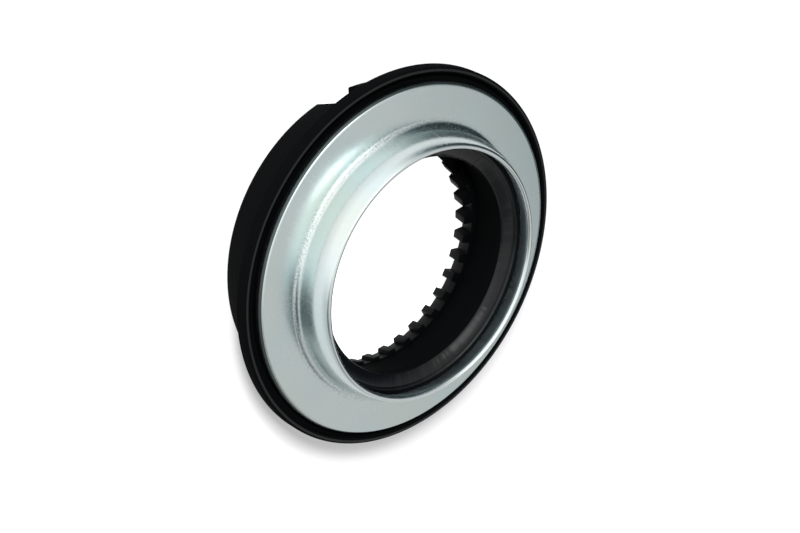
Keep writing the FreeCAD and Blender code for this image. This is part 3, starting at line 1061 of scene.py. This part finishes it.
    def tooth(self, angle: float) -> Mesh:
        """Builds one tooth: narrow at the tip, wide at the root, leaning as the bore does.

        Args:
            angle: The tooth's angle about the centre of the teeth, in degrees.

        Returns:
            The closed tooth, in place.
        """
        tip = self.bore - self.tooth_height
        along = self.tooth_offset * math.cos(math.radians(angle))
        seat = math.sqrt(along**2 + self.tooth_seat**2 - self.tooth_offset**2) - along
        flare = (self.root_width - self.tip_width) / (self.root_reach - tip - self.draft)
        block = bmesh.new()
        bmesh.ops.create_cube(block, size=1.0)
        for vert in block.verts:
            front = vert.co.z > 0.0
            inside = vert.co.x < 0.0
            near = tip if front else tip + self.draft
            width = self.tip_width
            if not inside:
                width += flare * (seat - tip - self.draft)
            vert.co = Vector((
                (near if inside else seat) * MM,
                math.copysign(width / 2 * MM, vert.co.y),
                (self.hub_front if front else self.hub_back) * MM,
            ))
        tip_edges = [
            e for e in block.edges if all(v.co.x < (tip + self.draft + 0.1) * MM for v in e.verts)
        ]
        bmesh.ops.bevel(
            block, geom=tip_edges, offset=self.tooth_round * MM, offset_type="OFFSET", segments=3,
            profile=0.5, affect="EDGES", material=-1,
        )
        face_outwards(block)
        turn_mesh(block, angle)
        bmesh.ops.translate(block, verts=block.verts, vec=Vector((self.tooth_offset * MM, 0.0, 0.0)))
        return block

    def teeth(self) -> Mesh:
        """Sets the teeth evenly about their own centre."""
        ring = bmesh.new()
        for number in range(self.tooth_count):
            angle = self.tooth_phase + number * 360.0 / self.tooth_count
            join_mesh(ring, self.tooth(angle))
        return ring

    def build(self) -> bpy.types.Object:
        """Joins the shell, wall, ribs and teeth into one moulding."""
        cap = self.shell()
        for part in (self.bore_ring(), self.cone_wall(), self.ribs(), self.teeth()):
            join_mesh(cap, part)
        start, stop = self.lip_line
        self.paint(cap, 1, lambda radius, height: radius > self.matte_from)
        self.paint(cap, 2, lambda radius, height: start < radius < stop and height > self.lip_line_from)
        made = self.finish_piece(cap, (Finish.NYLON, Finish.MATTE, Finish.POLISHED))
        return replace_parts(made, "upper_cap")


@dataclass
class BearingInsides:
    """The hidden races, cage, balls and seals, which keep the shapes of the frame."""

    shelf: FinishShelf
    finishes: dict[str, Finish] = field(
        default_factory=lambda: {
            "race": Finish.STEEL,
            "ball_cage": Finish.CAGE,
            "ball_": Finish.STEEL,
            "seal": Finish.RUBBER,
        }
    )

    def finish_of(self, node: str) -> Finish | None:
        """Finds the finish of a node by its name."""
        return next((finish for part, finish in self.finishes.items() if part in node), None)

    def dress(self) -> None:
        """Gives each hidden node its finish."""
        for name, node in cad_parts.items():
            finish = self.finish_of(name)
            if finish is None:
                continue
            node.data.materials.clear()
            node.data.materials.append(self.shelf.get(finish))
            log.info("%s: %s", name, finish.value)


@dataclass(frozen=True)
class RoomSide:
    """A lighter or darker side of the studio, as gloss on the part sees it.

    It lies in the direction way. Start and stop are the cosines of the angle to that direction at
    which it begins and is full, and gain is what it then adds to the room's level.
    """

    way: Point3
    start: float
    stop: float
    gain: float

    def mask(self, tree: Tree) -> Socket:
        """Tells how far a direction points to this side.

        Args:
            tree: The world's tree.

        Returns:
            0 away from the side, 1 towards it.
        """
        look = tree.nodes.new("ShaderNodeTexCoord")
        near = tree.nodes.new("ShaderNodeVectorMath")
        near.operation = "DOT_PRODUCT"
        near.inputs[1].default_value = Vector(self.way).normalized()
        link(tree, look.outputs["Generated"], near.inputs[0])
        spread = tree.nodes.new("ShaderNodeMapRange")
        spread.interpolation_type = "SMOOTHSTEP"
        link(tree, near.outputs["Value"], spread.inputs["Value"])
        spread.inputs["From Min"].default_value = self.start
        spread.inputs["From Max"].default_value = self.stop
        return spread.outputs[0]


@dataclass
class Studio:
    """Pale floor, one soft lamp, a room for gloss and the camera of the product shot.

    The camera's target and distance and the two radii on the floor are in millimetres, the floor's
    size and the lamp's place in metres, and angles in degrees.
    """

    target: Point3 = (3.39, -1.40, 25.1)
    azimuth: float = 25.0
    elevation: float = 42.57
    roll: float = 117.36
    distance: float = 620.6
    lens: float = 90.0
    sensor: float = 36.0
    floor_reach: float = 0.45
    floor_shift: float = 0.235
    floor_colour: Colour = (0.70, 0.70, 0.71, 1.0)
    floor_lift: float = 0.34
    floor_gloss: float = 0.10
    # Radius within which the floor is painted white for the camera, over the part's shadow.
    clear_radius: float = 51.6
    clear_edge: float = 12.0
    fade_radius: float = 300.0
    fade_edge: float = 1.8
    key_place: Point3 = (0.226, -1.112, 0.980)
    key_aim: Point3 = (0.0, 0.0, 0.02)
    key_size: float = 0.22
    key_power: float = 29.0
    fill_level: float = 0.28
    room_level: float = 0.62
    shade_tint: Colour = (0.62, 0.86, 1.0, 1.0)
    room_sides: tuple[RoomSide, ...] = (
        RoomSide((-0.93, 0.30, -0.20), 0.38, 0.78, -0.58),
        RoomSide((0.235, -0.875, 0.42), 0.35, 0.80, 0.62),
        RoomSide((0.0, 0.0, 1.0), 0.75, 1.0, 0.35),
        RoomSide((0.34, 0.60, 0.72), 0.90, 0.99, -0.34),
        RoomSide((0.80, 0.08, 0.60), 0.90, 0.985, -0.50),
        RoomSide((-0.23, -0.18, 0.96), 0.96, 0.992, 2.4),
    )

    def floor(self) -> bpy.types.Object:
        """Lays the floor that takes the part's shadow."""
        plate = bmesh.new()
        bmesh.ops.create_grid(plate, x_segments=8, y_segments=8, size=self.floor_reach)
        bmesh.ops.translate(plate, verts=plate.verts, vec=Vector((self.floor_shift, 0.0, 0.0)))
        data = bpy.data.meshes.new("floor")
        plate.to_mesh(data)
        plate.free()
        data.materials.append(self.floor_material())
        made = add_object("floor", data)
        return made

    def floor_material(self) -> bpy.types.Material:
        """Makes the floor's matte white, lifted for the camera to pure white far out, and in the bore,
        where the lift is painted light over the part's shadow.
        """
        made = bpy.data.materials.new("studio_floor")
        made.use_nodes = True
        tree = made.node_tree
        shader = tree.nodes["Principled BSDF"]
        shader.inputs["Base Color"].default_value = self.floor_colour
        shader.inputs["Roughness"].default_value = 0.9
        shader.inputs["Specular IOR Level"].default_value = 0.1
        shader.inputs["Emission Color"].default_value = WHITE
        path = tree.nodes.new("ShaderNodeLightPath")
        # Painted light: camera rays see the floor pure white inside the part's foot, where its shadow
        # would fall.
        bore = RingBand().place(tree, Radius=0.0, Height=0.0, Width=self.clear_radius * MM)
        inside = product(tree, bore, self.clear_edge, clamp=True)
        disc = RingBand().place(tree, Radius=0.0, Height=0.0, Width=self.fade_radius * MM)
        around = scalar_node(tree, "SUBTRACT", 1.0, product(tree, disc, self.fade_edge, clamp=True))
        white = product(tree, scalar_node(tree, "MAXIMUM", inside, around), 1.0 - self.floor_lift)
        camera = product(tree, path.outputs["Is Camera Ray"], total(tree, white, self.floor_lift))
        bounced = scalar_node(
            tree, "MAXIMUM", path.outputs["Is Glossy Ray"], path.outputs["Is Transmission Ray"]
        )
        mirrored = product(tree, bounced, self.floor_gloss)
        link(tree, scalar_node(tree, "MAXIMUM", camera, mirrored), shader.inputs["Emission Strength"])
        return made

    def world(self) -> None:
        """Sets white surroundings for the camera, a room with uneven sides for gloss, and the fill."""
        world = bpy.data.worlds.new("studio_world")
        world.use_nodes = True
        tree = world.node_tree
        back = tree.nodes["Background"]
        path = tree.nodes.new("ShaderNodeLightPath")
        camera = scalar_node(
            tree, "MAXIMUM", path.outputs["Is Camera Ray"], path.outputs["Is Transmission Ray"]
        )
        room = self.room_level
        for side in self.room_sides:
            room = total(tree, room, product(tree, side.mask(tree), side.gain))
        gloss = product(tree, path.outputs["Is Glossy Ray"], room)
        dull = product(tree, path.outputs["Is Diffuse Ray"], self.fill_level)
        light = scalar_node(tree, "MAXIMUM", camera, scalar_node(tree, "MAXIMUM", gloss, dull))
        link(tree, light, back.inputs["Strength"])
        shade = product(tree, path.outputs["Is Glossy Ray"], self.room_sides[0].mask(tree))
        link(tree, blend_colours(tree, shade, WHITE, self.shade_tint), back.inputs["Color"])
        bpy.context.scene.world = world

    def key_lamp(self) -> bpy.types.Object:
        """Hangs the soft lamp, which gloss on the part doesn't mirror."""
        data = bpy.data.lights.new("key_lamp", "AREA")
        data.shape = "SQUARE"
        data.size = self.key_size
        data.energy = self.key_power
        made = add_object("key_lamp", data)
        made.location = Vector(self.key_place)
        way = Vector(self.key_aim) - Vector(self.key_place)
        made.rotation_euler = way.to_track_quat("-Z", "Y").to_euler()
        made.visible_glossy = False
        return made

    def camera(self) -> bpy.types.Object:
        """Sets up the camera at the shot's angle and roll."""
        data = bpy.data.cameras.new("shot_camera")
        data.lens = self.lens
        data.sensor_width = self.sensor
        data.sensor_fit = "HORIZONTAL"
        data.clip_start = 0.01
        data.clip_end = 20.0
        made = add_object("shot_camera", data)
        turn = (
            Matrix.Rotation(math.radians(self.azimuth), 4, "Z")
            @ Matrix.Rotation(math.radians(90.0 - self.elevation), 4, "X")
            @ Matrix.Rotation(math.radians(self.roll), 4, "Z")
        )
        back = turn.to_3x3() @ Vector((0.0, 0.0, 1.0))
        place = Vector(self.target) * MM + back * self.distance * MM
        made.matrix_world = Matrix.Translation(place) @ turn
        bpy.context.scene.camera = made
        return made

    def build(self) -> None:
        """Sets up floor, surroundings, lamp and camera."""
        self.floor()
        self.world()
        self.key_lamp()
        self.camera()
        bpy.context.scene.view_settings.view_transform = "Standard"


def corners(box: tuple[Vector, Vector]) -> list[list[float]]:
    """Writes a box as plain lists of numbers."""
    return [list(box[0]), list(box[1])]


def main() -> None:
    """Builds the mount, dresses it and sets up the studio."""
    logging.basicConfig(level=logging.INFO, format="%(name)s: %(message)s")
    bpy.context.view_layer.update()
    shelf = FinishShelf()
    SpringSeat("spring_seat_sheet", "spring_side", "zinc_steel", shelf).build()
    TurningCap("turning_cap", "spring_side", "black_nylon", shelf).build()
    FixedCap("fixed_cap", "body_side", "black_nylon", shelf).build()
    BearingInsides(shelf).dress()
    Studio().build()


if __name__ == "__main__":
    main()
